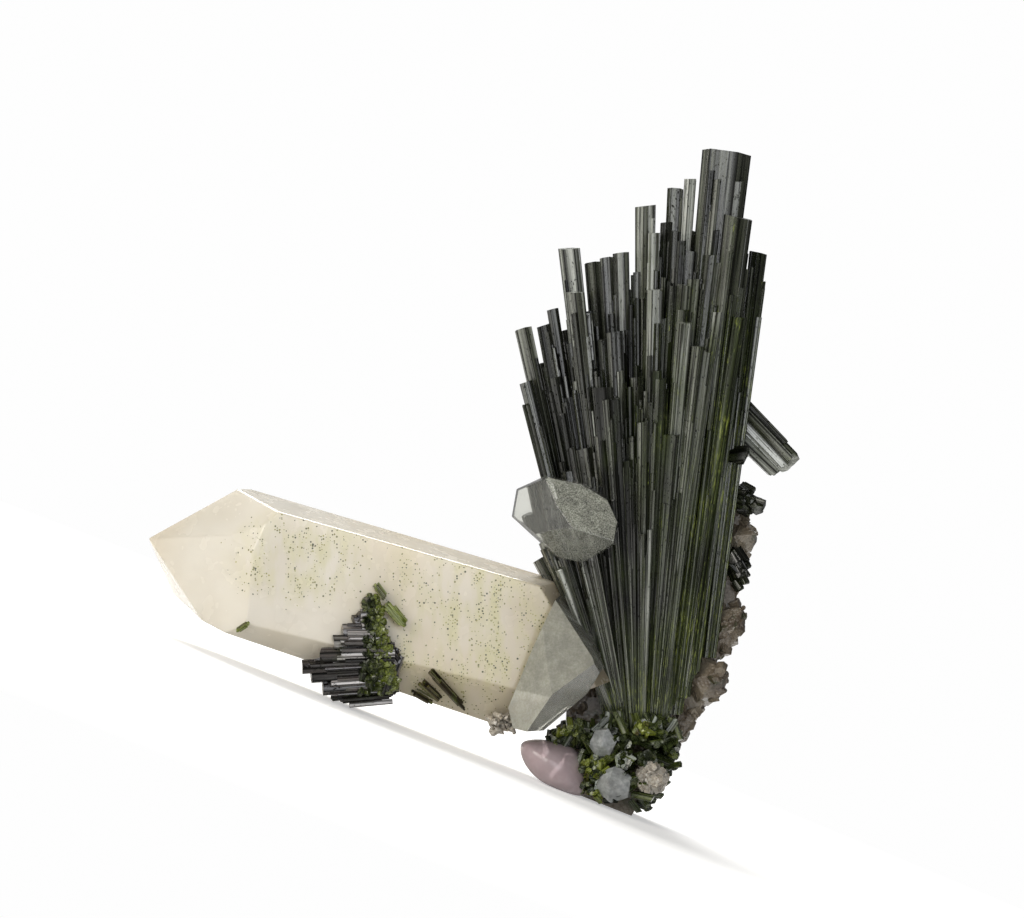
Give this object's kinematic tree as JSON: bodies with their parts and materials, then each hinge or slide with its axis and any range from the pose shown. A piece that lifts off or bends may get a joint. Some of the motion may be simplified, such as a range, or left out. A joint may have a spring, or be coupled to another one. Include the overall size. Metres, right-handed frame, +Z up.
{
  "type": "mineral specimen",
  "caption": "Spray of dark epidote prisms with milky, clear and lilac quartz crystals, as one natural cluster.",
  "frame": {"origin": "centre of the footprint of the specimen's box, on the surface it rests on", "axes": "+Z up; +X to the right and +Y away from the viewer, as it rests with the large quartz to the left"},
  "size_m": [0.0948, 0.0386, 0.1074],
  "materials": {
    "milky_quartz": "satin",
    "clear_quartz": "gloss",
    "lilac_quartz": "gloss",
    "matrix_quartz": "satin",
    "dark_epidote": "gloss",
    "green_epidote": "gloss"
  },
  "bodies": {
    "root": {"large_quartz": "milky_quartz", "side_quartz": "clear_quartz", "clear_quartz": "clear_quartz", "lilac_quartz": "lilac_quartz", "matrix_quartz": "matrix_quartz", "base_quartz_block": "matrix_quartz", "base_quartz_upper": "matrix_quartz", "base_quartz_sugary": "matrix_quartz", "epidote_spray": "dark_epidote", "epidote_cluster": "dark_epidote", "epidote_sprig_upper": "green_epidote", "epidote_sprig_middle": "green_epidote", "epidote_sprig_left": "green_epidote", "epidote_sprig_low_1": "green_epidote", "epidote_sprig_low_2": "green_epidote", "epidote_sprig_low_3": "green_epidote"}
  },
  "joints": []
}
